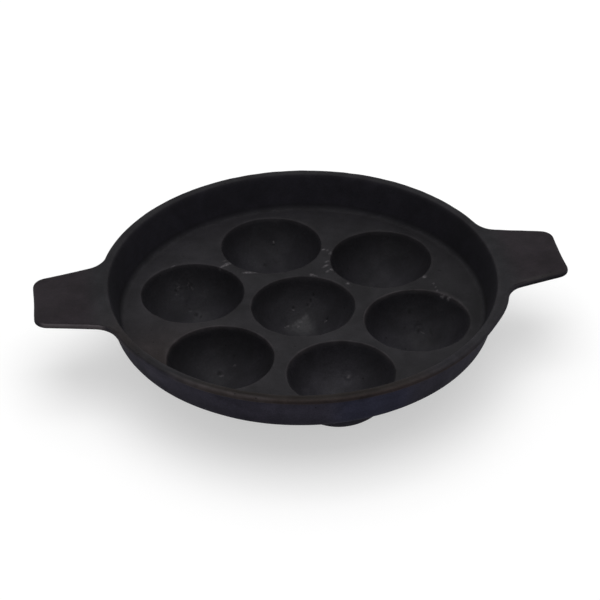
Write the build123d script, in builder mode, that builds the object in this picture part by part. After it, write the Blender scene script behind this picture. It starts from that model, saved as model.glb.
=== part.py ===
from build123d import *
import os
from math import cos, radians, sqrt, tan

# Aebleskiver pan: one iron casting, with seven round cups in a shallow tray and a flat
# tab handle on each side. Nothing on it is joined, screwed on or moves.
# Millimetres, +Z up. The handles lie along X. The origin is under the middle of the pan,
# on the plane that the ground flats of the cups stand on.

# Cups
cup_mouth_radius = 28.7    # at the tray floor
cup_depth = 23.5           # from the tray floor
cup_wall = 4.5
cup_gap = 6.9              # floor left between two neighbouring mouths
ring_cup_count = 6         # cups round the middle one
ring_turn = 38.1           # degrees from the handles' line to the first cup of the ring
mouth_edge_radius = 0.8
bulb_blend_radius = 2.8    # where a cup's outside runs into the underside
ground_off = 0.6           # taken off below each cup, so that the pan stands level

# Tray
floor_margin = 8.0         # floor left outside the ring of mouths
plate_thickness = 4.5
wall_height = 20.5         # from the tray floor to the rim
wall_draft = 16.3          # degrees that the wall leans out
wall_thickness = 4.0
floor_corner_radius = 3.5
foot_corner_radius = 7.0

# Rim lip, which the handles continue
rim_width = 5.5
lip_height = 3.0
lip_top_radius = 1.4
lip_under_radius = 0.9
lip_root_radius = 0.6      # the hollow corner under the lip
inner_edge_radius = 1.2

# Tab handles
tab_length = 34.5          # from the rim to the tip
tab_tip_width = 42.5
tab_flank_angle = 12.8     # degrees that each long side widens towards the rim
tab_corner_radius = 8.0
tab_root_radius = 14.0

# Worked out from the sizes above
lean = tan(radians(wall_draft))
wall_across = wall_thickness / cos(radians(wall_draft))
cup_pitch = 2 * cup_mouth_radius + cup_gap
cup_sphere_radius = (cup_mouth_radius**2 + cup_depth**2) / (2 * cup_depth)
bulb_sphere_radius = cup_sphere_radius + cup_wall
floor_height = cup_depth + cup_wall - ground_off
underside_height = floor_height - plate_thickness
rim_height = floor_height + wall_height
lip_under_height = rim_height - lip_height
cup_centre_height = floor_height - cup_depth + cup_sphere_radius
floor_radius = cup_pitch + cup_mouth_radius + floor_margin
inner_rim_radius = floor_radius + wall_height * lean
rim_radius = inner_rim_radius + rim_width
tab_reach = rim_radius + tab_length
tab_root_half_width = tab_tip_width / 2 + (tab_reach - floor_radius) * tan(radians(tab_flank_angle))


def outer_wall_radius(height):
    """Outside of the leaning wall at a height, without the lip and the corner."""
    return floor_radius + wall_across + (height - floor_height) * lean


def level_face(height):
    """The pan's level face at a height: the rim, its lip's underside or the tray floor."""
    return pan.faces().filter_by(Plane.XY).sort_by(lambda face: abs(face.center().Z - height))[0]


# One cup's outside: a ball that flares into the underside of the plate. The flare's arc
# touches the ball and the underside, so its centre follows from both.
flare_height = underside_height - bulb_blend_radius
flare_drop = cup_centre_height - flare_height
flare_reach = sqrt((bulb_sphere_radius + bulb_blend_radius) ** 2 - flare_drop**2)
ball_share = bulb_sphere_radius / (bulb_sphere_radius + bulb_blend_radius)
ball_end = (flare_reach * ball_share, cup_centre_height - flare_drop * ball_share)
ball_bottom = (0, cup_centre_height - bulb_sphere_radius)

with BuildPart() as cup_bulb:
    with BuildSketch(Plane.XZ):
        with BuildLine():
            RadiusArc(ball_bottom, ball_end, -bulb_sphere_radius)
            RadiusArc(ball_end, (flare_reach, underside_height), bulb_blend_radius)
            Polyline(
                (flare_reach, underside_height),
                (flare_reach, floor_height),
                (0, floor_height),
                ball_bottom,
            )
        make_face()
    revolve(axis=Axis.Z)

with BuildPart() as pan:
    # Outside of the tray, as a solid body with a rounded foot
    with BuildSketch(Plane.XZ) as tray_outside:
        with BuildLine():
            Polyline(
                (0, underside_height),
                (outer_wall_radius(underside_height), underside_height),
                (outer_wall_radius(lip_under_height), lip_under_height),
                (outer_wall_radius(lip_under_height), rim_height),
                (0, rim_height),
                close=True,
            )
        make_face()
        foot_corner = tray_outside.vertices().group_by(Axis.Y)[0].sort_by(Axis.X)[-1]
        fillet(foot_corner, radius=foot_corner_radius)
    revolve(axis=Axis.Z)

    # The rim lip and both handles, as one plate with its outline blended in plan
    with BuildSketch(Plane.XY.offset(rim_height)) as rim_outline:
        Circle(rim_radius)
        with BuildLine():
            Polyline(
                (floor_radius, -tab_root_half_width),
                (tab_reach, -tab_tip_width / 2),
                (tab_reach, tab_tip_width / 2),
                (floor_radius, tab_root_half_width),
                close=True,
            )
        make_face()
        mirror(about=Plane.YZ)
        roots = rim_outline.vertices().sort_by(SortBy.DISTANCE)[:4]
        fillet(roots, radius=tab_root_radius)
        columns = rim_outline.vertices().group_by(Axis.X)
        fillet(columns[0] + columns[-1], radius=tab_corner_radius)
    extrude(amount=-lip_height)

    # The cups' outsides below the plate
    add(cup_bulb.part)
    with PolarLocations(cup_pitch, ring_cup_count, start_angle=ring_turn):
        add(cup_bulb.part)

    # The hollow of the tray
    with BuildSketch(Plane.XZ) as tray_inside:
        with BuildLine():
            Polyline(
                (0, floor_height),
                (floor_radius, floor_height),
                (inner_rim_radius, rim_height),
                (0, rim_height),
                close=True,
            )
        make_face()
        floor_corner = tray_inside.vertices().group_by(Axis.Y)[0].sort_by(Axis.X)[-1]
        fillet(floor_corner, radius=floor_corner_radius)
    revolve(axis=Axis.Z, mode=Mode.SUBTRACT)

    # The hollows of the cups
    with Locations((0, 0, cup_centre_height)):
        Sphere(cup_sphere_radius, mode=Mode.SUBTRACT)
        with PolarLocations(cup_pitch, ring_cup_count, start_angle=ring_turn):
            Sphere(cup_sphere_radius, mode=Mode.SUBTRACT)

    # The flats under the cups
    split(bisect_by=Plane.XY, keep=Keep.TOP)

    # Rounded edges: the hollow corner under the lip, the lip and the handles from below and
    # from above, the inside of the rim, and the mouths of the cups
    fillet(level_face(lip_under_height).inner_wires()[0].edges(), radius=lip_root_radius)
    fillet(level_face(lip_under_height).outer_wire().edges(), radius=lip_under_radius)
    fillet(level_face(rim_height).outer_wire().edges(), radius=lip_top_radius)
    fillet(level_face(rim_height).inner_wires()[0].edges(), radius=inner_edge_radius)
    mouths = [wire.edges()[0] for wire in level_face(floor_height).inner_wires()]
    fillet(mouths, radius=mouth_edge_radius)

pan.part.label = "pan"

os.makedirs("parts", exist_ok=True)
export_step(pan.part, "parts/pan.step")
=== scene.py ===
import bmesh
import bpy
import numpy as np
from math import acos, atan2, ceil, cos, pi, radians, sin, sqrt, tan
from mathutils import Matrix, Vector, noise


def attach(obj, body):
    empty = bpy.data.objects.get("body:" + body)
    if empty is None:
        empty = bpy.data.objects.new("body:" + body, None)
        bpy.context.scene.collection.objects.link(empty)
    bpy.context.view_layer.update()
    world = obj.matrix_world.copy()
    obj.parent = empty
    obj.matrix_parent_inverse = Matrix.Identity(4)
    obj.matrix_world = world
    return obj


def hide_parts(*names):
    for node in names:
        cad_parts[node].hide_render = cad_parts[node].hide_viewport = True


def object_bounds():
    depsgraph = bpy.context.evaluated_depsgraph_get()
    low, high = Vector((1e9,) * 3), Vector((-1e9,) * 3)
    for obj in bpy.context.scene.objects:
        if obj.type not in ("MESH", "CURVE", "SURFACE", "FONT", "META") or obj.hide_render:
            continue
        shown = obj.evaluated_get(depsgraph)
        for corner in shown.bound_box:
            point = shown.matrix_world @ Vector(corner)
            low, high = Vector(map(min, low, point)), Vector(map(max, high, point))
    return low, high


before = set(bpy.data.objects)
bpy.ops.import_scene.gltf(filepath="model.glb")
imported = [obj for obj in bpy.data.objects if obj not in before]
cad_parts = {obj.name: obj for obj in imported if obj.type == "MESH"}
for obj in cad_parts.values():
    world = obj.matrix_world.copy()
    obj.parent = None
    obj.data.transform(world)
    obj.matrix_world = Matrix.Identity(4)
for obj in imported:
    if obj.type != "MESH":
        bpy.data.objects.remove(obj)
cad_low, cad_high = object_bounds()

# The pan is one sand casting. Its CAD solid gives the true shape and size, and the skin built here
# is the same shape as an even, closed mesh, fine enough for the unevenness, pits and marks of a
# real casting. Lengths are in millimetres until the mesh is made, apart from the camera's.
MM = 0.001

# Cups
cup_mouth_radius = 28.7
cup_depth = 23.5
cup_wall = 4.5
cup_gap = 6.9
ring_cup_count = 6
ring_turn = radians(38.1)
mouth_edge_radius = 0.8
bulb_blend_radius = 2.8

# Tray, rim lip and handles
floor_margin = 8.0
plate_thickness = 4.5
wall_height = 20.5
wall_draft = radians(16.3)
wall_thickness = 4.0
floor_corner_radius = 3.5
foot_corner_radius = 7.0
lip_height = 3.0
lip_top_radius = 1.4
lip_under_radius = 0.9
lip_root_radius = 0.6
inner_edge_radius = 1.2
tab_tip_width = 42.5
tab_flank_angle = radians(12.8)
tab_corner_radius = 8.0
tab_root_radius = 14.0

# Worked out from these and from the CAD model's box
rim_radius = cad_high.y / MM
tab_reach = cad_high.x / MM
rim_height = cad_high.z / MM
cup_pitch = 2 * cup_mouth_radius + cup_gap
ball_radius = (cup_mouth_radius**2 + cup_depth**2) / (2 * cup_depth)
bulb_radius = ball_radius + cup_wall
floor_height = rim_height - wall_height
underside_height = floor_height - plate_thickness
lip_under_height = rim_height - lip_height
ball_centre_height = floor_height - cup_depth + ball_radius
floor_radius = cup_pitch + cup_mouth_radius + floor_margin
inner_rim_radius = floor_radius + wall_height * tan(wall_draft)
ring_angles = [ring_turn + k * 2 * pi / ring_cup_count for k in range(ring_cup_count)]
cup_places = [(0.0, 0.0)] + [(cup_pitch * cos(angle), cup_pitch * sin(angle)) for angle in ring_angles]
# The pattern for the mould was made by hand, and its hollows stand a little off the even ring
hollow_shifts = [(0.2, 0.6), (0.9, -0.4), (0.6, 0.6), (0.6, -0.3), (-0.6, 0.0), (1.4, -0.6), (0.4, 0.5)]
hollow_places = [
    (cup_x + shift_x, cup_y + shift_y)
    for (cup_x, cup_y), (shift_x, shift_y) in zip(cup_places, hollow_shifts)
]


def outer_wall_radius(height):
    """Outside of the leaning wall at a height, without the lip and the foot's corner."""
    return floor_radius + wall_thickness / cos(wall_draft) + (height - floor_height) * tan(wall_draft)


# Lines in plan and in section

def arc(middle, radius, start, end, steps):
    """Points along an arc from one angle to another."""
    angles = np.linspace(start, end, steps + 1)
    return np.stack([middle[0] + radius * np.cos(angles), middle[1] + radius * np.sin(angles)], -1)


def rounded(corners, radii, steps):
    """A line through corners whose inner corners are rounded, each in so many steps."""
    corners = np.array(corners, float)
    pieces = [corners[:1]]
    for before, corner, after, radius, count in zip(corners, corners[1:], corners[2:], radii, steps):
        back = (before - corner) / np.linalg.norm(before - corner)
        ahead = (after - corner) / np.linalg.norm(after - corner)
        half = acos(np.clip(back @ ahead, -1, 1)) / 2
        middle = corner + (back + ahead) / np.linalg.norm(back + ahead) * radius / sin(half)
        start, end = (corner + way * radius / tan(half) - middle for way in (back, ahead))
        start, end = atan2(start[1], start[0]), atan2(end[1], end[0])
        turn = (end - start + pi) % (2 * pi) - pi
        pieces.append(arc(middle, radius, start, start + turn, count))
    return np.concatenate(pieces + [corners[-1:]])


def divided(line, spacing):
    """The same line with its long stretches divided evenly."""
    points = [line[:1]]
    for start, end in zip(line, line[1:]):
        count = max(1, round(np.linalg.norm(end - start) / spacing))
        points.append(start + (end - start) * (np.arange(1, count + 1) / count)[:, None])
    return np.concatenate(points)


def resampled(line, count):
    """So many points spread evenly along a line, its ends included."""
    lengths = np.concatenate([[0], np.cumsum(np.linalg.norm(np.diff(line, axis=0), axis=1))])
    places = np.linspace(0, lengths[-1], count)
    return np.stack([np.interp(places, lengths, line[:, k]) for k in (0, 1)], -1)


# The skin is put together from grids of points, which are welded along their borders
skin_points, skin_faces = [], []


def add_grid(grid, closed=False):
    """Adds a sheet of quads through rows of points. Where it is closed, the last column meets the first."""
    rows, columns = grid.shape[:2]
    first = sum(map(len, skin_points))
    index = first + np.arange(rows * columns).reshape(rows, columns)
    left = index if closed else index[:, :-1]
    right = np.roll(index, -1, axis=1) if closed else index[:, 1:]
    skin_points.append(grid.reshape(-1, 3))
    skin_faces.append(np.stack([left[:-1], right[:-1], right[1:], left[1:]], -1).reshape(-1, 4))


def at_height(plan, height):
    """Points of a plan, an array that ends in x and y, lifted to a height."""
    return np.concatenate([plan, np.full(plan.shape[:-1] + (1,), float(height))], -1)


# The directions from the pan's middle in which the round parts have a column of points. The
# columns stand closer at the handles, and one falls on each border between two cups.
column_step = radians(0.75)
tab_column_step = radians(0.48)
flank_normal = np.array([sin(tab_flank_angle), cos(tab_flank_angle)])
flank_along = np.array([-cos(tab_flank_angle), sin(tab_flank_angle)])
tip_corner = np.array([tab_reach, tab_tip_width / 2])
root_offset = tip_corner @ flank_normal + tab_root_radius
root_reach = sqrt((rim_radius + tab_root_radius) ** 2 - root_offset**2)
root_centre = root_offset * flank_normal - root_reach * flank_along
tab_half_angle = atan2(root_centre[1], root_centre[0])
cell_borders = [angle + pi / ring_cup_count for angle in ring_angles]
tab_borders = [side + end * tab_half_angle for side in (0, pi) for end in (-1, 1)]
borders = sorted({round(angle % (2 * pi), 9) for angle in cell_borders + tab_borders})


def in_tab(angle):
    """True if a direction points into a handle."""
    return abs((angle + pi / 2) % pi - pi / 2) < tab_half_angle


directions = []
for start, end in zip(borders, borders[1:] + [borders[0] + 2 * pi]):
    step = tab_column_step if in_tab((start + end) / 2) else column_step
    directions.append(np.linspace(start, end, ceil((end - start) / step), endpoint=False))
directions = np.concatenate(directions)
spokes = np.stack([np.cos(directions), np.sin(directions)], -1)


def columns_between(start, end):
    """The columns from one direction to another, going round anticlockwise, both included."""
    slack = 1e-6
    turn = (directions - start + slack) % (2 * pi)
    chosen = np.where(turn <= (end - start) % (2 * pi) + 2 * slack)[0]
    return chosen[np.argsort(turn[chosen])]


# The rim's outline in plan, with both handles, and the way out of it at each column
def tab_outline():
    """The right handle's outline from its lower root to its upper root."""
    root_steps, corner_steps = 12, 14
    flank_end = root_centre - tab_root_radius * flank_normal
    root_start = tab_half_angle + pi
    root_end = atan2(-flank_normal[1], -flank_normal[0]) % (2 * pi)
    upper_root = arc(root_centre, tab_root_radius, root_end, root_start, root_steps)
    lower_root = upper_root[::-1] * (1, -1)
    tip = rounded(
        [flank_end * (1, -1), tip_corner * (1, -1), tip_corner, flank_end],
        [tab_corner_radius] * 2, [corner_steps] * 2,
    )
    return np.concatenate([lower_root, tip[1:-1], upper_root])


outline = spokes * rim_radius
outward = spokes.copy()
tab_columns = []
for side, turn in ((0.0, 1), (pi, -1)):
    columns = columns_between(side - tab_half_angle, side + tab_half_angle)
    path = resampled(tab_outline(), len(columns)) * turn
    along = np.gradient(path, axis=0)
    along /= np.linalg.norm(along, axis=1)[:, None]
    along[0], along[-1] = (spokes[columns[end]][::-1] * (-1, 1) for end in (0, -1))
    outline[columns] = path
    outward[columns] = along[:, ::-1] * (1, -1)
    tab_columns.append(columns)


# Sections
straight_step = 1.6
lip_section = divided(
    rounded(
        [(-lip_top_radius, rim_height), (0, rim_height),
         (0, lip_under_height), (-lip_under_radius, lip_under_height)],
        [lip_top_radius, lip_under_radius], [4, 3],
    )[1:-1],
    straight_step,
)
floor_grid_radius = floor_radius - floor_corner_radius
rim_grid_radius = inner_rim_radius + inner_edge_radius
inside_section = divided(
    rounded(
        [(floor_grid_radius, floor_height), (floor_radius, floor_height),
         (inner_rim_radius, rim_height), (rim_grid_radius, rim_height)],
        [floor_corner_radius, inner_edge_radius], [4, 3],
    ),
    straight_step,
)
wall_top_radius, wall_foot_radius = outer_wall_radius(lip_under_height), outer_wall_radius(underside_height)
lip_root_grid_radius = wall_top_radius + lip_root_radius
foot_grid_radius = wall_foot_radius - foot_corner_radius * tan((pi / 2 - wall_draft) / 2)
outside_section = divided(
    rounded(
        [(lip_root_grid_radius, lip_under_height), (wall_top_radius, lip_under_height),
         (wall_foot_radius, underside_height), (foot_grid_radius, underside_height)],
        [lip_root_radius, foot_corner_radius], [2, 6],
    )[:-1],
    straight_step,
)


def turned(section):
    """A section of radius and height, turned about the pan's axis through every column."""
    return np.stack([at_height(spokes * radius, height) for radius, height in section])


def add_flat_ring(height, inner_radius, inset, spacing):
    """The level ring at a height from a circle to the outline less an inset, with both handles."""
    plain_radius = rim_radius - inset
    radii = np.linspace(inner_radius, plain_radius, 1 + ceil((plain_radius - inner_radius) / spacing))
    add_grid(turned([(radius, height) for radius in radii]), closed=True)
    for columns in tab_columns:
        start = spokes[columns] * plain_radius
        across = outline[columns] - outward[columns] * inset - start
        across[[0, -1]] = 0
        length = np.linalg.norm(across, axis=1)
        way = across / np.maximum(length, 1e-9)[:, None]
        reach = np.minimum(np.arange(0, length.max() + spacing, spacing)[:, None], length)
        add_grid(at_height(start + way * reach[..., None], height))


under_step = 2.0
add_grid(turned(inside_section), closed=True)
add_flat_ring(rim_height, rim_grid_radius, lip_top_radius, straight_step)
add_grid(np.stack([at_height(outline + outward * out, height) for out, height in lip_section]), closed=True)
add_flat_ring(lip_under_height, lip_root_grid_radius, lip_under_radius, under_step)
add_grid(turned(outside_section), closed=True)


# Each cup has a cell of the floor: six sides halfway to its neighbours, and the tray's edge
side_steps = 20
border_steps = 30
floor_steps = 8
under_steps = 4


def cell_outline(cup, outer_radius):
    """The border of a cup's cell, anticlockwise, as points in plan."""
    turn = 2 * pi / ring_cup_count
    corner_radius = cup_pitch / sqrt(3)
    if cup == 0:
        corners = arc((0, 0), corner_radius, cell_borders[0], cell_borders[0] + 2 * pi, ring_cup_count)
        return np.concatenate([
            np.linspace(start, end, side_steps, endpoint=False) for start, end in zip(corners, corners[1:])
        ])
    start, end = (ring_turn + (cup - 1 + half) * turn for half in (-0.5, 0.5))
    low, high = (np.array([cos(angle), sin(angle)]) for angle in (start, end))
    return np.concatenate([
        np.linspace(low * corner_radius, low * outer_radius, border_steps, endpoint=False),
        spokes[columns_between(start, end)[:-1]] * outer_radius,
        np.linspace(high * outer_radius, high * corner_radius, border_steps, endpoint=False),
        np.linspace(high * corner_radius, low * corner_radius, side_steps, endpoint=False),
    ])


# A cup's hollow, from its rounded mouth to its lowest point
mouth_drop = ball_centre_height - floor_height + mouth_edge_radius
mouth_reach = sqrt((ball_radius + mouth_edge_radius) ** 2 - mouth_drop**2)
mouth_angle = atan2(-mouth_drop, mouth_reach)
hollow_steps = 20
hollow_section = np.concatenate([
    arc((mouth_reach, floor_height - mouth_edge_radius), mouth_edge_radius, pi / 2, mouth_angle + pi, 3),
    arc((0, ball_centre_height), ball_radius, mouth_angle, -pi / 2, hollow_steps)[1:],
])

# A cup's outside, from its ground flat to the flare that runs into the underside
flat_radius = sqrt(bulb_radius**2 - ball_centre_height**2)
flare_height = underside_height - bulb_blend_radius
flare_drop = ball_centre_height - flare_height
flare_reach = sqrt((bulb_radius + bulb_blend_radius) ** 2 - flare_drop**2)
flare_angle = acos(flare_drop / (bulb_radius + bulb_blend_radius))
ball_end_radius = flare_reach * bulb_radius / (bulb_radius + bulb_blend_radius)
bulb_steps = 13
flare_steps = 3
flat_steps = 4
flat_angle, ball_end_angle = (acos(radius / bulb_radius) for radius in (flat_radius, ball_end_radius))
bulb_radii = np.concatenate([
    np.linspace(0, flat_radius, flat_steps, endpoint=False),
    bulb_radius * np.cos(np.linspace(flat_angle, ball_end_angle, bulb_steps + 1)),
    flare_reach - bulb_blend_radius * np.sin(np.linspace(flare_angle, 0, flare_steps + 1))[1:],
])


def bulb_height(radius):
    """Height of a cup's outside at a distance from its axis."""
    ball = ball_centre_height - np.sqrt(np.maximum(bulb_radius**2 - radius**2, 0))
    flare = flare_height + np.sqrt(np.maximum(bulb_blend_radius**2 - (flare_reach - radius) ** 2, 0))
    height = np.where(radius < ball_end_radius, ball, np.where(radius < flare_reach, flare, underside_height))
    return np.maximum(height, 0)


for cup, (middle, bulb_middle) in enumerate(zip(hollow_places, cup_places)):
    place = np.array(middle)
    border = cell_outline(cup, floor_grid_radius)
    ways = (border - place) / np.linalg.norm(border - place, axis=1)[:, None]
    mouth = place + ways * mouth_reach
    shares = (np.arange(floor_steps + 1) / floor_steps)[:, None, None]
    add_grid(at_height(border + (mouth - border) * shares, floor_height), closed=True)
    hollow = np.stack([at_height(place + ways * radius, height) for radius, height in hollow_section])
    add_grid(hollow, closed=True)

    place = np.array(bulb_middle)
    border = cell_outline(cup, foot_grid_radius)
    reach = np.linalg.norm(border - place, axis=1)
    ways = (border - place) / reach[:, None]
    plain = flare_reach + (reach - flare_reach) * (np.arange(1, under_steps + 1) / under_steps)[:, None]
    radii = np.minimum(np.concatenate([np.repeat(bulb_radii[:, None], len(reach), 1), plain]), reach)
    radii[-1] = reach
    heights = bulb_height(radii)
    add_grid(np.concatenate([place + ways * radii[..., None], heights[..., None]], -1), closed=True)


# Small pits of the casting in the cups and on the floor: place in plan, radius and depth
pits = [
    (14.9, 9.9, 1.2, 0.45),
    (-2.3, 20.6, 0.9, 0.35),
    (5.6, 20.6, 0.8, 0.3),
    (7.6, 21.9, 0.9, 0.4),
    (9.6, 23.4, 0.8, 0.3),
    (-4.4, 85.3, 0.9, 0.3),
    (-10.8, 75.3, 1.0, 0.4),
    (82.7, 21.7, 1.2, 0.5),
    (86.0, 23.5, 0.8, 0.2),
    (-29.9, 38.7, 0.8, 0.3),
    (71.6, 17.8, 0.8, 0.3),
    (-57.3, 32.9, 1.6, 0.5),
    (-54.6, 30.8, 0.9, 0.3),
    (-50.8, -27.0, 1.5, 0.45),
]
# Round marks with a nub in a shallow ring: place in plan, radius and depth
rings = [
    (17.3, -46.6, 4.6, 0.16),
    (64.4, -7.6, 3.2, 0.2),
]
# Blobs of rough iron in three of the outer cups: place in plan, radius and height
blobs = [
    (-65.1, 46.8, 2.6, 0.35),
    (-58.6, 47.6, 2.2, 0.3),
    (-62.0, 41.0, 2.4, 0.2),
    (-52.0, 38.0, 2.8, 0.2),
    (62.0, 8.0, 2.4, 0.2),
    (66.0, -14.5, 2.0, 0.25),
    (12.5, -52.0, 2.4, 0.2),
]

# Weld the grids into one closed skin, and divide it finely round the marks
weld_distance = 0.012
mark_margin = 1.2
mark_cuts = 2
mesh = bpy.data.meshes.new("pan_casting")
mesh.from_pydata((np.concatenate(skin_points) * MM).tolist(), [], np.concatenate(skin_faces).tolist())
builder = bmesh.new()
builder.from_mesh(mesh)
bmesh.ops.remove_doubles(builder, verts=builder.verts, dist=weld_distance * MM)
bmesh.ops.dissolve_degenerate(builder, dist=weld_distance * MM / 4, edges=builder.edges)
bmesh.ops.recalc_face_normals(builder, faces=builder.faces)
marked = set()
for face in builder.faces:
    middle = face.calc_center_median() / MM
    for x, y, radius, depth in pits + rings + blobs:
        if face.normal.z > 0 and (middle.x - x) ** 2 + (middle.y - y) ** 2 < (radius + mark_margin) ** 2:
            marked.update(face.edges)
bmesh.ops.subdivide_edges(builder, edges=list(marked), cuts=mark_cuts, use_grid_fill=True)
builder.to_mesh(mesh)
builder.free()
mesh.shade_smooth()


# Where each point of the skin lies, and how sharply the skin bends out there
def vertex_array(name):
    """A vector of every vertex as an array of rows."""
    values = np.empty(len(mesh.vertices) * 3)
    mesh.vertices.foreach_get(name, values)
    return values.reshape(-1, 3)


def smooth_step(value, start, end):
    """0 up to start, 1 from end, and smooth between them. Start may be the higher one."""
    share = np.clip((value - start) / (end - start), 0, 1)
    return share * share * (3 - 2 * share)


points = vertex_array("co") / MM
normals = vertex_array("normal")
x, y, z = points.T
from_axis = np.hypot(x, y)
from_cups = [np.hypot(x - cup_x, y - cup_y) for cup_x, cup_y in hollow_places]
from_cup, nearest_cup = np.min(from_cups, axis=0), np.argmin(from_cups, axis=0)
upward = smooth_step(normals[:, 2], -0.05, 0.15)
edge_ends = np.empty(len(mesh.edges) * 2, int)
mesh.edges.foreach_get("vertices", edge_ends)
near_end, far_end = edge_ends.reshape(-1, 2).T
step = points[far_end] - points[near_end]
bend = ((normals[far_end] - normals[near_end]) * step).sum(1) / (step**2).sum(1)
sharpness = np.zeros(len(points))
for end in (near_end, far_end):
    np.maximum.at(sharpness, end, bend)


# The mould was a little out of true at the lip and the handles: places in plan, how far the shift
# reaches, and the shift
nudges = [
    (-tab_reach, 14.0, 16.0, -0.5, 0.0),
    (-tab_reach, -16.0, 16.0, -1.3, -0.2),
    (tab_reach, 0.0, 24.0, -1.0, 0.0),
    (106.0, -42.0, 18.0, 1.7, -0.6),
]
lip_share = smooth_step(from_axis, inner_rim_radius + 0.5, rim_radius - 1)
for mark_x, mark_y, reach, shift_x, shift_y in nudges:
    share = lip_share * np.exp(-((x - mark_x) ** 2 + (y - mark_y) ** 2) / reach**2)
    points += share[:, None] * (shift_x, shift_y, 0)

# The cast surface lies a little below the true one, in slow swells and short ripples
swell_length, swell_depth = 34.0, 0.24
ripple_length, ripple_depth = 7.5, 0.07
wobble_length, wobble_depth = 6.0, 0.55
ripple_offset = Vector((5.0, 3.0, 8.0))


def noise_field(length, offset=Vector()):
    """Smooth noise from 0 to 1 at every point of the skin, with features of a length."""
    return np.array([0.5 + 0.5 * noise.noise(Vector(point) / length + offset) for point in points])


# The edges of the cups and of the rim were ground by hand, and so waver more than the rest
mouth_edge_reach, rim_edge_reach = 1.2, 1.5
on_floor = (z > floor_height - 1.5) * (from_axis < floor_radius)
mouth_edge = np.exp(-(((from_cup - cup_mouth_radius) / mouth_edge_reach) ** 2)) * on_floor
rim_edge = np.exp(-(((z - rim_height) / rim_edge_reach) ** 2)) * smooth_step(sharpness, 0.2, 0.5)
depth = swell_depth * noise_field(swell_length) + ripple_depth * noise_field(ripple_length, ripple_offset)
depth += wobble_depth * noise_field(wobble_length) * np.maximum(mouth_edge, 0.5 * rim_edge)
depth *= smooth_step(z, 0.0, 1.0)
for mark_x, mark_y, radius, mark_depth in pits:
    away = np.hypot(x - mark_x, y - mark_y) / radius
    raised_edge = 0.25 * np.exp(-((away - 1.25) / 0.25) ** 2)
    depth += mark_depth * (np.exp(-(away / 0.6) ** 2) - raised_edge) * upward
for mark_x, mark_y, radius, mark_depth in rings:
    away = np.hypot(x - mark_x, y - mark_y) / radius
    nub = 1.3 * np.exp(-(away / 0.28) ** 2)
    groove = np.exp(-((away - 0.55) / 0.16) ** 2)
    outer_bead = 0.45 * np.exp(-((away - 1.0) / 0.14) ** 2)
    depth += mark_depth * (groove - nub - outer_bead) * upward
rough_noise = noise_field(1.7, ripple_offset)
for mark_x, mark_y, radius, mark_depth in blobs:
    away = np.hypot(x - mark_x, y - mark_y) / radius
    depth -= mark_depth * np.exp(-(away**2)) * smooth_step(rough_noise, 0.35, 0.65) * upward
mesh.vertices.foreach_set("co", ((points - normals * depth[:, None]) * MM).ravel())
mesh.update()


# What the material reads at each point: the iron's tone with its painted light and shade, worn edges
# with painted highlights, the dressed patch, the cups and the painted shade in the floor's corner
floor_tone = (0.0098, 0.0091, 0.0109)
cup_tone = (0.0121, 0.0114, 0.0141)
# Each cup's share sets how lit it looks: painted light and shade
cup_light_shares = (1.0, 0.82, 0.92, 0.90, 0.86, 1.38, 0.98)
wall_tone = (0.0090, 0.0083, 0.0116)
rim_tone = (0.0094, 0.0090, 0.0108)
warm_rim_tone = (0.0150, 0.0125, 0.0130)
front_rim_tone = (0.0080, 0.0056, 0.0048)
cool_rim_tone = (0.0125, 0.0118, 0.0150)
handle_tone = (0.0097, 0.0071, 0.0092)
# The outside's blue tint is a painted reflection
outside_tone = (0.0224, 0.0206, 0.0306)
# Painted highlight on the lip's side near the left handle
lip_highlight_tone = (0.0420, 0.0370, 0.0400)
# Painted shade on the lip's side in front, dark and reddish
lip_shade_tone = (0.0140, 0.0090, 0.0094)
# Painted light: a pool of light on the front-left floor, warm in tint
lit_warm_floor_tone = (0.0165, 0.0128, 0.0130)
# Painted highlight beside the right handle's near edge
right_handle_highlight_tone = (0.0180, 0.0160, 0.0168)

# Patches with a tone of their own: place in plan, and reach along x and y. The front-left floor patch
# is a painted pool of light, warm in tint, the lip's pale patch is a painted highlight, and the two
# front wall patches are painted light.
lit_warm_floor_patch = (-80.0, -40.0), (32.0, 30.0)
warm_rim_patch = (-102.0, -42.0), (14.0, 18.0)
cool_rim_patch = (64.0, -90.0), (20.0, 18.0)
lip_highlight_patch = (-103.0, -45.0), (12.0, 14.0)
front_wall_light_patch = (0.0, -107.0), (26.0, 12.0)
front_left_wall_light_patch = (-43.0, -99.0), (12.0, 12.0)
# Duller patches of the upper side: place in plan, reach along x and y, and share
dull_patches = [
    (-21.0, 54.0, 12.0, 12.0, 0.35),
    (52.0, 33.0, 9.0, 9.0, 0.35),
    (14.0, 36.0, 10.0, 8.0, 0.3),
    (-3.0, 77.0, 8.0, 7.0, 0.3),
    (-59.0, 12.0, 14.0, 7.0, 0.35),
    (62.0, -25.0, 9.0, 10.0, 0.3),
    (80.0, -7.0, 7.0, 6.0, 0.35),
    (-33.0, -1.0, 7.0, 10.0, 0.25),
    (-55.0, -54.0, 12.0, 8.0, 0.25),
]
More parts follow.
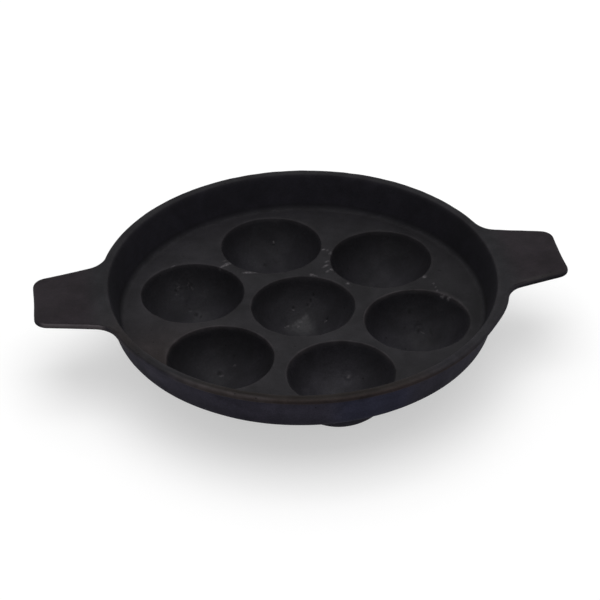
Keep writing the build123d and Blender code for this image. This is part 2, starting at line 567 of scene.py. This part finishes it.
# Painted light and shade: lighter and darker patches of the upper side, set to how lit each place
# looks: place in plan, reach along x and y, and share
painted_light_and_shade_patches = [
    (-18.0, 42.0, 22.0, 16.0, -0.35),
    (6.0, 36.0, 18.0, 10.0, -0.25),
    (-48.0, 3.0, 22.0, 12.0, -0.4),
    (-100.0, 10.0, 8.0, 25.0, -0.3),
    (-76.0, -24.0, 6.0, 10.0, -0.25),
    (-50.0, 90.0, 14.0, 8.0, 0.3),
    (-44.0, 71.0, 9.0, 7.0, -0.25),
    (69.0, -17.0, 12.0, 13.0, -0.45),
    (51.0, 33.0, 11.0, 10.0, -0.4),
    (28.0, -57.0, 11.0, 13.0, -0.4),
    (-30.0, 60.0, 9.0, 9.0, -0.3),
    (73.0, 44.0, 10.0, 8.0, 0.35),
    (-75.0, 34.0, 10.0, 9.0, -0.3),
    (-50.0, 46.0, 12.0, 8.0, 0.35),
    (40.0, -38.0, 9.0, 16.0, 0.5),
    (17.0, -46.0, 8.0, 6.0, 0.35),
    (-8.0, -48.0, 8.0, 5.0, 0.25),
    (1.0, 13.0, 12.0, 10.0, -0.3),
    (-90.0, -26.0, 6.0, 12.0, 0.25),
    (60.0, -58.0, 16.0, 9.0, 0.3),
    (-94.0, -60.0, 12.0, 12.0, -0.2),
    (-70.0, -86.0, 16.0, 10.0, -0.25),
    (-134.0, -21.0, 9.0, 3.0, 0.4),
]


def toned(tone, other, share):
    """A tone at every point, mixed with another by a share."""
    return tone + (np.array(other) - tone) * share[:, None]


def region(value, start, end, reach=1.0):
    """1 between two values and 0 outside them, with soft ends."""
    return smooth_step(value, start - reach, start) * smooth_step(value, end + reach, end)


def patch(middle, reach):
    """1 at a place in plan, falling off over a reach along x and one along y."""
    return np.exp(-(((x - middle[0]) / reach[0]) ** 2) - ((y - middle[1]) / reach[1]) ** 2)


# Parts of the surface, each 1 where a point lies on it
facing_out = smooth_step((x * normals[:, 0] + y * normals[:, 1]) / from_axis.clip(1), 0, 0.1)
in_mouth = smooth_step(from_cup, cup_mouth_radius + 0.3, cup_mouth_radius - 0.8)
in_cup = in_mouth * smooth_step(z, floor_height + 2, floor_height) * upward
on_wall = (from_axis > floor_radius) * (from_axis < inner_rim_radius)
on_top = smooth_step(z, rim_height - 0.5, rim_height - 0.2)
over_lip = smooth_step(from_axis, inner_rim_radius, rim_radius - 2)
on_edge = region(z, lip_under_height, rim_height) * facing_out * over_lip
on_rim = np.maximum(on_top, on_edge)
on_handle = smooth_step(np.abs(x), rim_radius - 3, rim_radius + 10)
in_front = smooth_step(y, -74, -96)
below_lip = smooth_step(z, lip_under_height + 0.3, lip_under_height)
outside = facing_out * smooth_step(normals[:, 2], 0.2, 0.0) * below_lip
underneath = smooth_step(z, underside_height + 1.5, underside_height - 0.5) * (1 - upward)
lip_band = region(z, lip_under_height - 1.4, rim_height - 1.3, 0.7)
lip_side = lip_band * facing_out * smooth_step(from_axis, 104, 107)
# Where the floor's corner gets its painted shade
corner = region(from_axis, floor_radius - 3, floor_radius + 0.8, 1.2) * upward * (z < floor_height + 4)

# Painted light and shade: the floor is lighter on the left and in a warm pool at the front left,
# lighter along the wall at the back right and darker at the back left, and the cups are lighter in
# their middles
floor_light_slope = 0.32
floor_edge = smooth_step(from_axis, 90, 95)
bearing = np.degrees(np.arctan2(y, x))
back_right_light_gain, back_left_shade_loss = 0.12, 0.08
back_right, back_left = region(bearing, 42, 85, 12), region(bearing, 152, 170, 8)
cup_edge_shade_loss, cup_middle_light_gain = 0.38, 0.10
tone = np.tile(np.array(floor_tone), (len(points), 1))
tone *= (1.0 - floor_light_slope * np.clip(x / floor_radius, -1, 1))[:, None]
tone = toned(tone, lit_warm_floor_tone, patch(*lit_warm_floor_patch) * upward)
tone *= (1 + floor_edge * (back_right_light_gain * back_right - back_left_shade_loss * back_left))[:, None]
# Painted light and shade in the cups: each cup's share sets how lit it looks, and the cups are darker towards
# their sides
tone = toned(tone, np.array(cup_tone) * np.array(cup_light_shares)[nearest_cup][:, None], in_cup)
tone *= (1 - in_cup * (cup_edge_shade_loss * smooth_step(from_cup, 15, 27) - cup_middle_light_gain))[:, None]

# Painted shade: the inner wall is darker at both ends. The rim is warm at the left and in front, and
# cool at the right, and its front is lighter towards the outer edge, a painted highlight.
wall_right_shade_loss, wall_left_shade_loss = 0.45, 0.2
wall_shade_loss = wall_right_shade_loss * smooth_step(x, 60, 104) + wall_left_shade_loss * smooth_step(x, -85, -100)
tone = toned(tone, wall_tone, smooth_step(from_axis, floor_radius - 1.2, floor_radius))
tone *= (1 - on_wall * wall_shade_loss)[:, None]
tone = toned(tone, rim_tone, on_top)
tone = toned(tone, warm_rim_tone, on_top * patch(*warm_rim_patch))
tone = toned(tone, handle_tone, on_top * on_handle)
# Painted light: the rim's front is lighter towards its outer edge, a painted highlight along the edge
rim_light_share = 0.75 + 0.25 * smooth_step(from_axis, inner_rim_radius, rim_radius)
rim_light_share += 1.1 * smooth_step(from_axis, rim_radius - 1.6, rim_radius - 0.6)
tone = toned(tone, np.array(front_rim_tone) * rim_light_share[:, None], on_rim * in_front)
tone = toned(tone, cool_rim_tone, on_rim * patch(*cool_rim_patch))

# Painted light and shade on the outside: it is darker low down and at the right, and lighter on the
# front. It is bluer right of the middle, a painted reflection.
outside_low_shade_loss, outside_right_shade_loss = 0.35, 0.25
outside_shade_loss = outside_low_shade_loss * smooth_step(z, 38, 24) + outside_right_shade_loss * smooth_step(x, 75, 110)
front_wall_light_gain = 0.3 * patch(*front_wall_light_patch) + 0.25 * patch(*front_left_wall_light_patch)
blue_reflection_side = outside * region(x, 8, 34, 14)
blue_reflection_gain = (-0.1, 0.0, 0.2)
tone = toned(tone, outside_tone, outside)
tone *= (1 - outside * outside_shade_loss)[:, None]
tone *= (1 + outside * front_wall_light_gain)[:, None]
tone *= 1 + blue_reflection_side[:, None] * blue_reflection_gain
# Painted light and shade in patches of the upper side
for mark_x, mark_y, reach_x, reach_y, share in painted_light_and_shade_patches:
    tone *= (1 + share * patch((mark_x, mark_y), (reach_x, reach_y)) * upward)[:, None]

# Painted shade: the underside is darkest between the bulbs. The lip's side is warm and painted with
# shade in front, takes the outside's tone at the left, has a painted highlight near the left handle,
# and is painted darker at the right handle.
bulb_sides = smooth_step(normals[:, 2], -0.95, -0.5) * smooth_step(z, underside_height, 14)
under_shade_share = 0.45 + 0.2 * bulb_sides
lip_side_left = smooth_step(y, -30, -50) * smooth_step(x, -72, -90)
lip_side_right_shade_loss = 0.4
tone = toned(tone, np.array(outside_tone) * under_shade_share[:, None], underneath)
tone = toned(tone, lip_shade_tone, lip_side * in_front * smooth_step(x, -60, 0))
tone = toned(tone, outside_tone, lip_side * lip_side_left)
tone = toned(tone, lip_highlight_tone, lip_side * patch(*lip_highlight_patch))
tone *= (1 - lip_side_right_shade_loss * lip_side * smooth_step(x, rim_radius, rim_radius + 10))[:, None]

# How dull the iron is
dull = np.max([outside, 1.6 * underneath, 0.4 * on_top, 0.8 * lip_side], axis=0)
for mark_x, mark_y, reach_x, reach_y, share in dull_patches:
    dull += share * patch((mark_x, mark_y), (reach_x, reach_y)) * upward

# Painted shade: each pit is darker in its middle
pit_shade_loss, pit_reach = 0.8, 0.55
for mark_x, mark_y, radius, mark_depth in pits:
    away = np.hypot(x - mark_x, y - mark_y) / radius
    tone *= (1 - pit_shade_loss * np.exp(-((away / pit_reach) ** 2)) * upward)[:, None]

# Wear and painted highlights: a little wear shows on all sharp edges and along the front of the rim,
# and painted highlights on the left of the rim's front edge, on the left handle's near edge and on
# the far edges of some cups. A painted highlight lies in a band beside the right handle's near edge.
plain_wear, front_wear_and_highlight, front_edge_highlight, handle_highlight = 0.05, 0.08, 0.28, 1.3
mouth_wear_and_highlight_length = 9.0
near_side = smooth_step(normals[:, 1], 0.0, -0.5) * smooth_step(z, rim_height - 2.9, rim_height - 2.1)
left_handle = region(x, -143, -rim_radius - 1, 3) * near_side
front_edge = region(x, -76, -38, 10) * on_edge * smooth_step(y, -55, -75)
mouth_wear_and_highlight_shares = np.array((0.2, 0.1, 0.1, 0.1, 0.45, 0.4, 0.5))[nearest_cup]
cup_ys = np.array(hollow_places)[nearest_cup, 1]
mouth_wear_and_highlight_shares *= smooth_step((y - cup_ys) / cup_mouth_radius, -0.1, 0.4) * noise_field(mouth_wear_and_highlight_length)
wear_and_highlight_places = plain_wear + front_wear_and_highlight * in_front * on_edge
wear_and_highlight_places = wear_and_highlight_places + front_edge_highlight * front_edge + handle_highlight * left_handle
wear_and_highlight_places += mouth_wear_and_highlight_shares * (z < floor_height + 1) * (from_axis < floor_radius)
wear_and_highlight = smooth_step(sharpness, 0.12, 0.4) * wear_and_highlight_places * (z > floor_height - 2)
# Painted highlight in a band beside the right handle's near edge
right_handle_highlight_place, right_handle_highlight_half_length, right_handle_highlight_half_width = (129.0, -23.5), 12.0, 1.5
along = (x - right_handle_highlight_place[0]) * cos(tab_flank_angle) + (y - right_handle_highlight_place[1]) * sin(tab_flank_angle)
across = (y - right_handle_highlight_place[1]) * cos(tab_flank_angle) - (x - right_handle_highlight_place[0]) * sin(tab_flank_angle)
right_handle_highlight = np.exp(-((along / right_handle_highlight_half_length) ** 4) - (across / right_handle_highlight_half_width) ** 2)
tone = toned(tone, right_handle_highlight_tone, right_handle_highlight * on_top)

# A fan of brighter, dressed iron in the middle cup, from its tip down to the near side
fan_tip = np.array([5.2, 17.4])
fan_from, fan_to = radians(-153), radians(-80)
fan_length = 23.0
from_tip = np.stack([x, y], -1) - fan_tip
fan_angle = np.arctan2(from_tip[:, 1], from_tip[:, 0])
fan_reach = np.hypot(from_tip[:, 0], from_tip[:, 1])
fan_edge = radians(5)
dressed = smooth_step(fan_angle, fan_from - fan_edge, fan_from + fan_edge)
dressed *= smooth_step(fan_angle, fan_to + fan_edge, fan_to - fan_edge)
dressed *= smooth_step(fan_reach, fan_length, fan_length * 0.15) * smooth_step(fan_reach, 0, 2.0)
dressed *= in_cup * (np.hypot(x, y) < cup_mouth_radius)
dressed *= 0.55 + 0.45 * np.exp(-(((fan_angle - fan_from) / radians(28)) ** 2))

tone_layer = mesh.color_attributes.new("tone", "FLOAT_COLOR", "POINT")
tone_layer.data.foreach_set("color", np.concatenate([tone, np.ones((len(tone), 1))], 1).ravel())
for name, values in (
    ("wear_and_highlight", wear_and_highlight), ("dressed", dressed), ("in_cup", in_cup), ("dull", dull), ("corner", corner),
):
    layer = mesh.attributes.new(name, "FLOAT", "POINT")
    layer.data.foreach_set("value", values.astype(np.float32))

skin = bpy.data.objects.new("pan_casting", mesh)
bpy.context.scene.collection.objects.link(skin)
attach(skin, "root")
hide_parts("pan")


# Shader nodes
class Nodes:
    """Adds nodes to the node tree of a material or a world."""

    def __init__(self, owner):
        owner.use_nodes = True
        self.tree = owner.node_tree

    def add(self, kind, inputs=None, **settings):
        """A new node with its settings, and its inputs set to values or linked to outputs."""
        node = self.tree.nodes.new(kind)
        for name, value in settings.items():
            setattr(node, name, value)
        for name, value in (inputs or {}).items():
            self.set(node.inputs[name], value)
        return node

    def set(self, socket, value):
        """Sets an input to a value, or links an output to it."""
        if isinstance(value, bpy.types.NodeSocket):
            self.tree.links.new(value, socket)
        else:
            socket.default_value = value

    def maths(self, operation, first, second=0.0):
        """The result of a sum on two numbers."""
        return self.add("ShaderNodeMath", {0: first, 1: second}, operation=operation).outputs[0]

    def plus(self, value, share, amount):
        """A number plus so much of a share."""
        return self.maths("ADD", value, self.maths("MULTIPLY", share, amount))

    def without(self, share, amount):
        """1 less so much of a share."""
        return self.maths("SUBTRACT", 1.0, self.maths("MULTIPLY", share, amount))

    def length(self, vector):
        """How long a vector is."""
        return self.add("ShaderNodeVectorMath", {0: vector}, operation="LENGTH").outputs["Value"]

    def ramp(self, value, start, end, low=0.0, high=1.0):
        """A number taken smoothly from low, at start, to high, at end."""
        inputs = {"Value": value, "From Min": start, "From Max": end, "To Min": low, "To Max": high}
        return self.add("ShaderNodeMapRange", inputs, interpolation_type="SMOOTHSTEP").outputs[0]

    def mix(self, share, first, second):
        """Two colours mixed by a share."""
        node = self.add("ShaderNodeMix", {0: share}, data_type="RGBA")
        for place, value in ((6, first), (7, second)):
            self.set(node.inputs[place], value if isinstance(value, bpy.types.NodeSocket) else (*value, 1.0))
        return node.outputs[2]

    def scaled(self, colour, factor):
        """A colour times a number."""
        return self.add("ShaderNodeVectorMath", {0: colour, "Scale": factor}, operation="SCALE").outputs[0]

    def noise(self, place, size, detail=2.0, roughness=0.5, distortion=0.0):
        """Noise about 0.5 with features of a size in millimetres."""
        inputs = {
            "Vector": place, "Scale": 1 / (size * MM), "Detail": detail, "Roughness": roughness,
            "Distortion": distortion,
        }
        return self.add("ShaderNodeTexNoise", inputs)

    def grey_noise(self, *place_and_size, **settings):
        """The same noise as one number."""
        return self.noise(*place_and_size, **settings).outputs[0]


# Cast iron with a black oil seasoning: sandy grain, pores, cloudy tone, worn edges and scuffs, with
# painted highlights on the edges, painted glints among the scuffs and painted shade in the pores.
# Sizes and reaches below are in millimetres.
# Bare iron, also used for painted highlights on edges
bare_and_highlight_tone = (0.060, 0.052, 0.056)
dressed_tone = (0.034, 0.033, 0.036)
# Scuffs, also used for painted glints
scuff_and_glint_tone = (0.098, 0.091, 0.098)
# Bright scuffs on the floor and in the cups, some of them painted glints: place in plan, half length,
# half width, direction in degrees and brightness
scuffs_and_glints = [
    (-37.6, 47.6, 3.6, 0.8, 26, 1.0),
    (-36.0, 49.4, 2.4, 0.7, 24, 0.9),
    (-37.2, 52.4, 1.6, 0.5, 10, 0.4),
    (-25.6, 38.1, 2.8, 0.9, -6, 0.9),
    (-21.6, 37.4, 1.6, 0.5, -20, 0.5),
    (20.6, 54.3, 0.9, 0.8, 20, 1.0),
    (22.6, 53.0, 0.7, 0.7, 0, 0.6),
    (24.0, 50.0, 1.6, 0.8, 60, 0.5),
    (20.7, 41.5, 1.5, 0.8, 30, 0.7),
    (19.4, 37.5, 1.6, 0.7, 20, 0.9),
    (17.6, 36.6, 1.2, 0.6, 30, 0.5),
    (21.7, 33.1, 0.9, 0.9, 0, 1.0),
    (19.2, 31.6, 1.5, 0.6, 35, 0.6),
    (9.6, 29.9, 1.1, 0.8, -10, 1.0),
    (11.6, 28.6, 1.6, 0.5, -25, 0.5),
    (28.4, 17.6, 1.0, 0.8, 40, 0.9),
    (72.6, 17.0, 1.2, 1.0, 60, 0.9),
    (76.2, 9.2, 1.2, 0.5, 80, 0.6),
    (76.6, 5.6, 0.9, 0.5, 60, 0.5),
    (76.9, 2.3, 0.8, 0.5, 60, 0.6),
    (78.8, -1.9, 1.3, 0.6, -35, 0.9),
    (81.8, -4.7, 1.1, 0.5, -50, 0.9),
    (-62.7, 13.4, 1.4, 0.5, 10, 0.4),
    (-67.2, 52.0, 1.5, 0.5, 35, 0.5),
    (14.4, 9.0, 0.9, 0.5, 20, 0.6),
    (-2.5, 19.9, 0.6, 0.5, 0, 0.7),
    (-0.9, 10.9, 0.9, 0.7, 40, 0.8),
    (-7.0, 11.0, 0.9, 0.5, 30, 0.7),
    (-4.3, 86.4, 0.6, 0.5, 0, 0.8),
    (17.5, -46.9, 0.9, 0.7, 0, 0.7),
    (-65.2, 46.0, 1.4, 0.5, 20, 0.35),
    (-59.3, 47.5, 0.8, 0.5, 80, 0.35),
    (-66.4, 43.6, 0.9, 0.5, 0, 0.3),
    (-57.4, 46.2, 0.9, 0.4, -20, 0.3),
    (-59.9, 35.2, 0.8, 0.5, 0, 0.3),
    (7.2, 20.3, 1.0, 0.4, 40, 0.35),
    (-8.6, 9.8, 0.7, 0.5, 0, 0.5),
    (-2.6, 13.2, 0.8, 0.4, 25, 0.4),
    (0.8, 13.4, 1.0, 0.5, 20, 0.45),
    (4.4, 16.0, 0.9, 0.4, 40, 0.35),
    (66.2, -9.8, 1.4, 0.4, -40, 0.3),
    (-49.9, -28.4, 1.2, 0.6, 0, 0.4),
    (-42.0, -24.6, 1.1, 0.6, 0, 0.3),
]
# Dark specks in the cups, and chips in the front of the rim's lip, laid out in the same way
specks = [
    (60.7, 0.3, 1.0, 0.8, 0, 0.5),
    (56.6, -6.2, 1.0, 0.7, 0, 0.5),
    (64.2, -8.4, 1.4, 0.7, 60, 0.5),
    (70.9, -11.2, 0.6, 2.4, 10, 0.5),
    (62.0, -17.1, 2.0, 0.5, 0, 0.35),
    (-50.5, -17.8, 1.0, 0.6, 0, 0.4),
    (-41.5, -20.4, 1.2, 0.7, 0, 0.4),
    (-66.9, 45.2, 0.9, 0.6, 0, 0.5),
    (-57.9, 47.9, 0.9, 0.5, 0, 0.45),
    (-60.2, 36.8, 0.9, 0.6, 0, 0.5),
    (-5.3, -112.0, 3.0, 1.6, 0, 0.5),
    (14.4, -110.6, 4.4, 2.4, 6, 0.6),
    (-16.0, -111.0, 1.6, 1.2, -8, 0.35),
]


def upper_height(place_x, place_y):
    """Height of the floor, of the lip's lower part or of the cup at a place in plan."""
    if sqrt(place_x**2 + place_y**2) > inner_rim_radius:
        return lip_under_height - 2
    away = min(sqrt((place_x - cup_x) ** 2 + (place_y - cup_y) ** 2) for cup_x, cup_y in hollow_places)
    if away > cup_mouth_radius:
        return floor_height
    return ball_centre_height - sqrt(ball_radius**2 - away**2)


material = bpy.data.materials.new("cast_iron")
iron = Nodes(material)
shader = iron.tree.nodes["Principled BSDF"]
place = iron.add("ShaderNodeTexCoord").outputs["Object"]


def read(name, output="Fac"):
    """What the skin holds under a name at a place."""
    return iron.add("ShaderNodeAttribute", attribute_name=name).outputs[output]


tone_node = read("tone", "Color")
wear_and_highlight_node = read("wear_and_highlight")
dressed_node = read("dressed")
cup_node = read("in_cup")
dull_node = read("dull")
corner_shade_node = read("corner")

cloud_size, blotch_size, sand_size, grain_size = 26.0, 7.0, 2.2, 0.8
clouds = iron.grey_noise(place, cloud_size, detail=4.0, roughness=0.6, distortion=0.4)
blotches = iron.grey_noise(place, blotch_size, detail=3.0, roughness=0.6)
sand = iron.grey_noise(place, sand_size)
grain = iron.grey_noise(place, grain_size, detail=3.0, roughness=0.6)

# A few of the cells of a Voronoi pattern have a pore in their middle, sunk by the bump and painted
# darker as shade in its hollow
pore_spacing = 5.0
pores = iron.add("ShaderNodeTexVoronoi", {"Vector": place, "Scale": 1 / (pore_spacing * MM)}, feature="F1")
pore_number = iron.add("ShaderNodeSeparateColor", {"Color": pores.outputs["Color"]}).outputs[0]
some_pores = iron.ramp(pore_number, 0.84, 0.88)
pore = iron.maths("MULTIPLY", iron.ramp(pores.outputs["Distance"], 0.14, 0.06), some_pores)
rough_patch_size = 13.0
rough_patch = iron.ramp(iron.grey_noise(place, rough_patch_size), 0.42, 0.62)
rough_patch = iron.maths("MULTIPLY", cup_node, rough_patch)

# How bright the scuffs and painted glints are at a place: the strongest of them, with ragged and
# broken edges
ragged_size, ragged_depth, broken_size = 1.3, 1.8, 0.9
ragged = iron.add("ShaderNodeVectorMath", {
    0: iron.noise(place, ragged_size).outputs["Color"], 1: (0.5, 0.5, 0.5),
}, operation="SUBTRACT").outputs[0]
ragged = iron.scaled(ragged, ragged_depth * MM)
shifted = iron.add("ShaderNodeVectorMath", {0: place, 1: ragged}, operation="ADD").outputs[0]


def strongest(marks):
    """The share of the strongest of the marks of a table at a place."""
    mark_height = 4.0
    share = 0.0
    for mark_x, mark_y, half_length, half_width, direction, strength in marks:
        inside = iron.add("ShaderNodeMapping", {
            "Vector": shifted,
            "Location": (mark_x * MM, mark_y * MM, upper_height(mark_x, mark_y) * MM),
            "Rotation": (0, 0, radians(direction)),
            "Scale": (half_length * MM, half_width * MM, mark_height * MM),
        }, vector_type="TEXTURE").outputs[0]
        share = iron.maths("MAXIMUM", share, iron.ramp(iron.length(inside), 1.5, 0.4, 0.0, strength))
    return share


broken = iron.ramp(iron.grey_noise(place, broken_size), 0.38, 0.58, 0.35, 1.0)
scuffed_and_glinting = iron.maths("MULTIPLY", strongest(scuffs_and_glints), broken)
specked = strongest(specks)

# Painted shade: the corner between floor and wall is darkest, from a ragged line on
blotch_shift, sand_shift = 5.5, 3.0
flat_place = iron.add(
    "ShaderNodeVectorMath", {0: shifted, 1: (1.0, 1.0, 0.0)}, operation="MULTIPLY"
).outputs[0]
from_middle = iron.length(flat_place)
from_middle = iron.plus(from_middle, iron.maths("SUBTRACT", blotches, 0.5), blotch_shift * MM)
from_middle = iron.plus(from_middle, iron.maths("SUBTRACT", sand, 0.5), sand_shift * MM)
corner_start, corner_end = (floor_radius - 1.3) * MM, (floor_radius - 0.6) * MM
corner_shade_share = iron.maths("MULTIPLY", corner_shade_node, iron.ramp(from_middle, corner_start, corner_end))
wear_and_highlight_share = iron.maths("MULTIPLY", wear_and_highlight_node, iron.ramp(blotches, 0.35, 0.65, 0.6, 1.0))
dressed_share = iron.maths("MULTIPLY", dressed_node, iron.ramp(sand, 0.3, 0.6, 0.5, 1.0))

# Colour, with painted shade in the floor's corner and the pores, and painted highlights and glints
# with the wear and the scuffs
corner_shade_loss, scuff_and_glint_gain, pore_shade_loss = 0.42, 0.75, 0.7
colour = iron.scaled(tone_node, iron.ramp(clouds, 0.3, 0.7, 0.8, 1.2))
colour = iron.scaled(colour, iron.ramp(blotches, 0.3, 0.7, 0.88, 1.12))
colour = iron.scaled(colour, iron.ramp(grain, 0.35, 0.65, 0.85, 1.15))
colour = iron.mix(wear_and_highlight_share, colour, bare_and_highlight_tone)
colour = iron.mix(dressed_share, colour, dressed_tone)
colour = iron.scaled(colour, iron.without(corner_shade_share, corner_shade_loss))
colour = iron.scaled(colour, iron.maths("SUBTRACT", 1.0, specked))
colour = iron.mix(iron.maths("MULTIPLY", scuffed_and_glinting, scuff_and_glint_gain), colour, scuff_and_glint_tone)
# Painted shade in each pore
colour = iron.scaled(colour, iron.without(pore, pore_shade_loss))
iron.set(shader.inputs["Base Color"], colour)

# Roughness: worn, scuffed and dressed iron is smoother, and the outside is duller
wear_and_highlight_change, scuff_and_glint_change, rough_patch_change, dull_change = -0.2, -0.2, -0.12, 0.2
roughness = iron.ramp(clouds, 0.3, 0.7, 0.70, 0.60)
roughness = iron.plus(roughness, wear_and_highlight_share, wear_and_highlight_change)
roughness = iron.plus(roughness, iron.maths("MAXIMUM", scuffed_and_glinting, dressed_share), scuff_and_glint_change)
roughness = iron.plus(roughness, rough_patch, rough_patch_change)
roughness = iron.plus(roughness, dull_node, dull_change)
iron.set(shader.inputs["Roughness"], roughness)
shader.inputs["Specular IOR Level"].default_value = 0.10

# Grain too fine for the mesh, with its depths in millimetres
sand_depth, rough_depth, grain_depth, pore_depth = 0.06, 0.16, 0.03, 0.12
sand_share = iron.maths("ADD", iron.maths("MULTIPLY", rough_patch, rough_depth), sand_depth)
height = iron.maths("MULTIPLY", sand, sand_share)
height = iron.plus(height, grain, grain_depth)
height = iron.plus(height, pore, -pore_depth)
relief = iron.add("ShaderNodeBump", {"Height": height, "Distance": MM, "Strength": 1.0}).outputs[0]
iron.set(shader.inputs["Normal"], relief)
mesh.materials.append(material)

# Floor: white, and its camera colour is lifted so that only the pan's shadow is darker than white.
# Its half width is in metres, and its drop below the pan in millimetres.
floor_half = 3.0
floor_drop = 0.02
floor_sides = [(-1, -1), (1, -1), (1, 1), (-1, 1)]
floor_corners = [
    (side_x * floor_half, side_y * floor_half, -floor_drop * MM) for side_x, side_y in floor_sides
]
floor_mesh = bpy.data.meshes.new("stage_floor")
floor_mesh.from_pydata(floor_corners, [], [(0, 1, 2, 3)])
floor = bpy.data.objects.new("stage_floor", floor_mesh)
bpy.context.scene.collection.objects.link(floor)


def seen_directly(nodes):
    """1 for rays from the camera, through glass or off a shiny surface, otherwise 0."""
    path = nodes.add("ShaderNodeLightPath").outputs
    seen = nodes.maths("MAXIMUM", path["Is Camera Ray"], path["Is Glossy Ray"])
    return nodes.maths("MAXIMUM", seen, path["Is Transmission Ray"])


# The lift grows from that beside the pan to that far from it, between two distances in metres
near_lift, far_lift = 0.5, 1.0
near_distance, far_distance = 0.8, 2.0
floor_material = bpy.data.materials.new("stage_white")
paint = Nodes(floor_material)
paint_shader = paint.tree.nodes["Principled BSDF"]
paint_shader.inputs["Base Color"].default_value = (0.55, 0.55, 0.55, 1)
paint_shader.inputs["Roughness"].default_value = 1.0
paint_shader.inputs["Specular IOR Level"].default_value = 0.0
paint_shader.inputs["Emission Color"].default_value = (1, 1, 1, 1)
from_pan = paint.length(paint.add("ShaderNodeTexCoord").outputs["Object"])
lift = paint.ramp(from_pan, near_distance, far_distance, near_lift, far_lift)
paint.set(paint_shader.inputs["Emission Strength"], paint.maths("MULTIPLY", seen_directly(paint), lift))
floor_mesh.materials.append(floor_material)

# Camera, in metres
camera_data = bpy.data.cameras.new("camera")
camera_data.lens = 121.2
camera = bpy.data.objects.new("camera", camera_data)
bpy.context.scene.collection.objects.link(camera)
azimuth, elevation, roll = radians(-8.4), radians(34.99), radians(-0.81)
target, distance = Vector((-0.0007, 0.0059, 0.0274)), 1.1288
back = Vector((sin(azimuth) * cos(elevation), -cos(azimuth) * cos(elevation), sin(elevation)))
right = Matrix.Rotation(roll, 3, back) @ Vector((cos(azimuth), sin(azimuth), 0))
up = back.cross(right)
turn = Matrix((right, up, back)).transposed().to_4x4()
camera.matrix_world = Matrix.Translation(target + back * distance) @ turn
bpy.context.scene.camera = camera

# Light: a white studio with a large soft box overhead and a smaller one behind the pan
sky_strength = 0.5
world = bpy.data.worlds.new("studio")
bpy.context.scene.world = world
sky = Nodes(world)
background = sky.tree.nodes["Background"]
background.inputs["Color"].default_value = (1, 1, 1, 1)
sky.set(background.inputs["Strength"], sky.ramp(seen_directly(sky), 0.0, 1.0, sky_strength, 1.0))


def add_soft_box(name, azimuth, elevation, distance, size, power):
    """A square lamp that faces the pan. Azimuth is counted from behind the pan towards the right."""
    data = bpy.data.lights.new(name, "AREA")
    data.energy = power
    data.size = size
    lamp = bpy.data.objects.new(name, data)
    way = Vector((sin(azimuth) * cos(elevation), cos(azimuth) * cos(elevation), sin(elevation)))
    lamp.location = way * distance
    lamp.rotation_euler = way.to_track_quat("Z", "Y").to_euler()
    lamp.visible_camera = False
    bpy.context.scene.collection.objects.link(lamp)


add_soft_box("top_box", radians(0), radians(88), 2.0, 2.0, 20.0)
add_soft_box("back_box", radians(0), radians(58), 2.0, 1.2, 5.6)

bpy.context.scene.view_settings.view_transform = "Standard"
